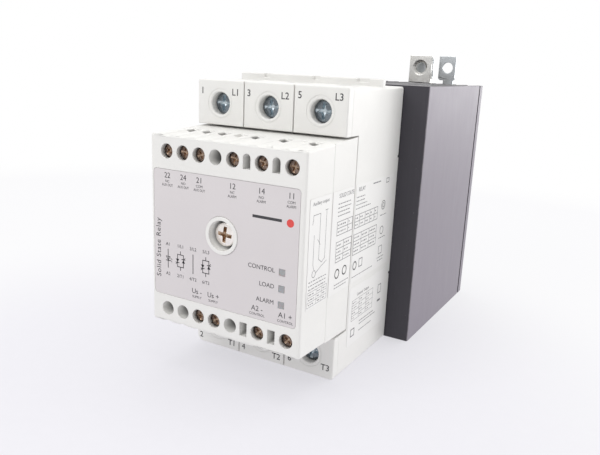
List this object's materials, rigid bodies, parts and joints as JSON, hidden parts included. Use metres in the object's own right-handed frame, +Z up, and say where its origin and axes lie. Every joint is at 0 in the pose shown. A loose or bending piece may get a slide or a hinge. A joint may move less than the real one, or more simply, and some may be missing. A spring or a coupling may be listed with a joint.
{
  "type": "solid state relay",
  "caption": "Rail-mounted solid state relay: white terminal housing on a black finned heatsink, with a plug-on front monitoring module and screw clamp terminals.",
  "frame": {"origin": "centre of the object's base rectangle, on the surface it stands on", "axes": "+X to the right seen from the front, +Y from the front face to the rail side, +Z up"},
  "size_m": [0.072, 0.138, 0.1028],
  "materials": {
    "housing_plastic": "fine moulded texture, light grey white",
    "cover_plastic": "fine moulded texture, light grey",
    "label_print": "satin printed film",
    "led_window": "frosted light pipe, unlit",
    "circuit_board": "solder-masked board",
    "relay_case": "dark moulded case",
    "connector_plastic": "black moulded connector",
    "copper_bar": "tinned copper bar",
    "contact_brass": "bright brass",
    "thyristor_case": "moulded ceramic-filled module",
    "thermal_pad": "thin thermal pad",
    "anodised_aluminium": "black anodised extrusion",
    "galvanised_sheet": "galvanised sheet",
    "plated_steel": "yellowish zinc plate",
    "spring_steel": "spring wire",
    "bright_screw": "bright nickel plate",
    "terminal_screw_steel": "nickel plate",
    "power_screw_steel": "blue zinc plate",
    "clamp_steel": "zinc plate"
  },
  "bodies": {
    "housing": {"power_housing": "housing_plastic", "line_terminal_cover": "cover_plastic", "load_terminal_cover": "cover_plastic", "heatsink": "anodised_aluminium", "thermal_pads": "thermal_pad", "thyristor_modules": "thyristor_case", "line_busbars": "copper_bar", "load_busbars": "copper_bar", "middle_busbar": "copper_bar", "driver_board": "circuit_board", "socket_connector": "connector_plastic", "threaded_insert": "contact_brass", "housing_screws": "plated_steel", "housing_labels": "label_print", "din_rail_bracket": "galvanised_sheet", "bracket_screws": "plated_steel", "earth_terminal": "plated_steel", "latch_spring": "spring_steel"},
    "module": {"module_cover": "housing_plastic", "module_base": "housing_plastic", "module_labels": "label_print", "light_pipes": "led_window", "control_board": "circuit_board", "signal_relays": "relay_case", "plug_connector": "connector_plastic", "control_contacts": "contact_brass"},
    "fixing_screw": {"module_fixing_screw": "bright_screw"},
    "rail_latch": {"din_rail_latch": "galvanised_sheet"},
    "control_screw_22": {"terminal_screw_22": "terminal_screw_steel"},
    "control_clamp_22": {"terminal_clamp_22": "clamp_steel"},
    "control_screw_24": {"terminal_screw_24": "terminal_screw_steel"},
    "control_clamp_24": {"terminal_clamp_24": "clamp_steel"},
    "control_screw_21": {"terminal_screw_21": "terminal_screw_steel"},
    "control_clamp_21": {"terminal_clamp_21": "clamp_steel"},
    "control_screw_12": {"terminal_screw_12": "terminal_screw_steel"},
    "control_clamp_12": {"terminal_clamp_12": "clamp_steel"},
    "control_screw_14": {"terminal_screw_14": "terminal_screw_steel"},
    "control_clamp_14": {"terminal_clamp_14": "clamp_steel"},
    "control_screw_11": {"terminal_screw_11": "terminal_screw_steel"},
    "control_clamp_11": {"terminal_clamp_11": "clamp_steel"},
    "control_screw_us_minus": {"terminal_screw_us_minus": "terminal_screw_steel"},
    "control_clamp_us_minus": {"terminal_clamp_us_minus": "clamp_steel"},
    "control_screw_us_plus": {"terminal_screw_us_plus": "terminal_screw_steel"},
    "control_clamp_us_plus": {"terminal_clamp_us_plus": "clamp_steel"},
    "control_screw_a2": {"terminal_screw_a2": "terminal_screw_steel"},
    "control_clamp_a2": {"terminal_clamp_a2": "clamp_steel"},
    "control_screw_a1": {"terminal_screw_a1": "terminal_screw_steel"},
    "control_clamp_a1": {"terminal_clamp_a1": "clamp_steel"},
    "line_power_screw_1": {"line_screw_1": "power_screw_steel"},
    "line_power_clamp_1": {"line_clamp_1": "clamp_steel"},
    "line_power_screw_2": {"line_screw_2": "power_screw_steel"},
    "line_power_clamp_2": {"line_clamp_2": "clamp_steel"},
    "line_power_screw_3": {"line_screw_3": "power_screw_steel"},
    "line_power_clamp_3": {"line_clamp_3": "clamp_steel"},
    "load_power_screw_1": {"load_screw_1": "power_screw_steel"},
    "load_power_clamp_1": {"load_clamp_1": "clamp_steel"},
    "load_power_screw_2": {"load_screw_2": "power_screw_steel"},
    "load_power_clamp_2": {"load_clamp_2": "clamp_steel"},
    "load_power_screw_3": {"load_screw_3": "power_screw_steel"},
    "load_power_clamp_3": {"load_clamp_3": "clamp_steel"}
  },
  "joints": [
    {"name": "module_pull_off", "type": "slide", "parent": "housing", "child": "module", "axis": [0, -1, 0], "range_m": [0, 0.014]},
    {"name": "fixing_screw_turn", "type": "hinge", "parent": "module", "child": "fixing_screw", "pos_m": [-0.0004, -0.0667, 0.0475], "axis": [0, -1, 0], "range_deg": [0, 1800]},
    {"name": "rail_latch_pull", "type": "slide", "parent": "housing", "child": "rail_latch", "axis": [0, 0, 1], "range_m": [0, 0.004], "stiffness_N_per_m": 900, "springref_m": -0.004, "deforming": ["latch_spring"]},
    {"name": "turn_22", "type": "hinge", "parent": "module", "child": "control_screw_22", "pos_m": [-0.02086, -0.0669, 0.07], "axis": [0, 1, 0], "range_deg": [0, 1920]},
    {"name": "clamp_rise_22", "type": "slide", "parent": "module", "child": "control_clamp_22", "axis": [0, -1, 0], "range_m": [0, 0.0024]},
    {"name": "turn_24", "type": "hinge", "parent": "module", "child": "control_screw_24", "pos_m": [-0.01486, -0.0669, 0.07], "axis": [0, 1, 0], "range_deg": [0, 1920]},
    {"name": "clamp_rise_24", "type": "slide", "parent": "module", "child": "control_clamp_24", "axis": [0, -1, 0], "range_m": [0, 0.0024]},
    {"name": "turn_21", "type": "hinge", "parent": "module", "child": "control_screw_21", "pos_m": [-0.00889, -0.0669, 0.07], "axis": [0, 1, 0], "range_deg": [0, 1920]},
    {"name": "clamp_rise_21", "type": "slide", "parent": "module", "child": "control_clamp_21", "axis": [0, -1, 0], "range_m": [0, 0.0024]},
    {"name": "turn_12", "type": "hinge", "parent": "module", "child": "control_screw_12", "pos_m": [0.00305, -0.0669, 0.07], "axis": [0, 1, 0], "range_deg": [0, 1920]},
    {"name": "clamp_rise_12", "type": "slide", "parent": "module", "child": "control_clamp_12", "axis": [0, -1, 0], "range_m": [0, 0.0024]},
    {"name": "turn_14", "type": "hinge", "parent": "module", "child": "control_screw_14", "pos_m": [0.01268, -0.0669, 0.07], "axis": [0, 1, 0], "range_deg": [0, 1920]},
    {"name": "clamp_rise_14", "type": "slide", "parent": "module", "child": "control_clamp_14", "axis": [0, -1, 0], "range_m": [0, 0.0024]},
    {"name": "turn_11", "type": "hinge", "parent": "module", "child": "control_screw_11", "pos_m": [0.02243, -0.0669, 0.07], "axis": [0, 1, 0], "range_deg": [0, 1920]},
    {"name": "clamp_rise_11", "type": "slide", "parent": "module", "child": "control_clamp_11", "axis": [0, -1, 0], "range_m": [0, 0.0024]},
    {"name": "turn_us_minus", "type": "hinge", "parent": "module", "child": "control_screw_us_minus", "pos_m": [-0.00889, -0.0669, 0.0205], "axis": [0, 1, 0], "range_deg": [0, 1920]},
    {"name": "clamp_rise_us_minus", "type": "slide", "parent": "module", "child": "control_clamp_us_minus", "axis": [0, -1, 0], "range_m": [0, 0.0024]},
    {"name": "turn_us_plus", "type": "hinge", "parent": "module", "child": "control_screw_us_plus", "pos_m": [-0.00295, -0.0669, 0.0205], "axis": [0, 1, 0], "range_deg": [0, 1920]},
    {"name": "clamp_rise_us_plus", "type": "slide", "parent": "module", "child": "control_clamp_us_plus", "axis": [0, -1, 0], "range_m": [0, 0.0024]},
    {"name": "turn_a2", "type": "hinge", "parent": "module", "child": "control_screw_a2", "pos_m": [0.01268, -0.0669, 0.0205], "axis": [0, 1, 0], "range_deg": [0, 1920]},
    {"name": "clamp_rise_a2", "type": "slide", "parent": "module", "child": "control_clamp_a2", "axis": [0, -1, 0], "range_m": [0, 0.0024]},
    {"name": "turn_a1", "type": "hinge", "parent": "module", "child": "control_screw_a1", "pos_m": [0.02243, -0.0669, 0.0205], "axis": [0, 1, 0], "range_deg": [0, 1920]},
    {"name": "clamp_rise_a1", "type": "slide", "parent": "module", "child": "control_clamp_a1", "axis": [0, -1, 0], "range_m": [0, 0.0024]},
    {"name": "turn_line_1", "type": "hinge", "parent": "housing", "child": "line_power_screw_1", "pos_m": [-0.0181, -0.0447, 0.0834], "axis": [0, 1, 0], "range_deg": [0, 2160]},
    {"name": "clamp_rise_line_1", "type": "slide", "parent": "housing", "child": "line_power_clamp_1", "axis": [0, -1, 0], "range_m": [0, 0.0042]},
    {"name": "turn_line_2", "type": "hinge", "parent": "housing", "child": "line_power_screw_2", "pos_m": [0, -0.0447, 0.0834], "axis": [0, 1, 0], "range_deg": [0, 2160]},
    {"name": "clamp_rise_line_2", "type": "slide", "parent": "housing", "child": "line_power_clamp_2", "axis": [0, -1, 0], "range_m": [0, 0.0042]},
    {"name": "turn_line_3", "type": "hinge", "parent": "housing", "child": "line_power_screw_3", "pos_m": [0.0181, -0.0447, 0.0834], "axis": [0, 1, 0], "range_deg": [0, 2160]},
    {"name": "clamp_rise_line_3", "type": "slide", "parent": "housing", "child": "line_power_clamp_3", "axis": [0, -1, 0], "range_m": [0, 0.0042]},
    {"name": "turn_load_1", "type": "hinge", "parent": "housing", "child": "load_power_screw_1", "pos_m": [-0.0181, -0.0447, 0.0073], "axis": [0, 1, 0], "range_deg": [0, 2160]},
    {"name": "clamp_rise_load_1", "type": "slide", "parent": "housing", "child": "load_power_clamp_1", "axis": [0, -1, 0], "range_m": [0, 0.0042]},
    {"name": "turn_load_2", "type": "hinge", "parent": "housing", "child": "load_power_screw_2", "pos_m": [0, -0.0447, 0.0073], "axis": [0, 1, 0], "range_deg": [0, 2160]},
    {"name": "clamp_rise_load_2", "type": "slide", "parent": "housing", "child": "load_power_clamp_2", "axis": [0, -1, 0], "range_m": [0, 0.0042]},
    {"name": "turn_load_3", "type": "hinge", "parent": "housing", "child": "load_power_screw_3", "pos_m": [0.0181, -0.0447, 0.0073], "axis": [0, 1, 0], "range_deg": [0, 2160]},
    {"name": "clamp_rise_load_3", "type": "slide", "parent": "housing", "child": "load_power_clamp_3", "axis": [0, -1, 0], "range_m": [0, 0.0042]}
  ],
  "couplings": [
    {"joint": "turn_22", "follows": "clamp_rise_22", "rad_per_m": 13963},
    {"joint": "turn_24", "follows": "clamp_rise_24", "rad_per_m": 13963},
    {"joint": "turn_21", "follows": "clamp_rise_21", "rad_per_m": 13963},
    {"joint": "turn_12", "follows": "clamp_rise_12", "rad_per_m": 13963},
    {"joint": "turn_14", "follows": "clamp_rise_14", "rad_per_m": 13963},
    {"joint": "turn_11", "follows": "clamp_rise_11", "rad_per_m": 13963},
    {"joint": "turn_us_minus", "follows": "clamp_rise_us_minus", "rad_per_m": 13963},
    {"joint": "turn_us_plus", "follows": "clamp_rise_us_plus", "rad_per_m": 13963},
    {"joint": "turn_a2", "follows": "clamp_rise_a2", "rad_per_m": 13963},
    {"joint": "turn_a1", "follows": "clamp_rise_a1", "rad_per_m": 13963},
    {"joint": "turn_line_1", "follows": "clamp_rise_line_1", "rad_per_m": 8976},
    {"joint": "turn_line_2", "follows": "clamp_rise_line_2", "rad_per_m": 8976},
    {"joint": "turn_line_3", "follows": "clamp_rise_line_3", "rad_per_m": 8976},
    {"joint": "turn_load_1", "follows": "clamp_rise_load_1", "rad_per_m": 8976},
    {"joint": "turn_load_2", "follows": "clamp_rise_load_2", "rad_per_m": 8976},
    {"joint": "turn_load_3", "follows": "clamp_rise_load_3", "rad_per_m": 8976}
  ]
}
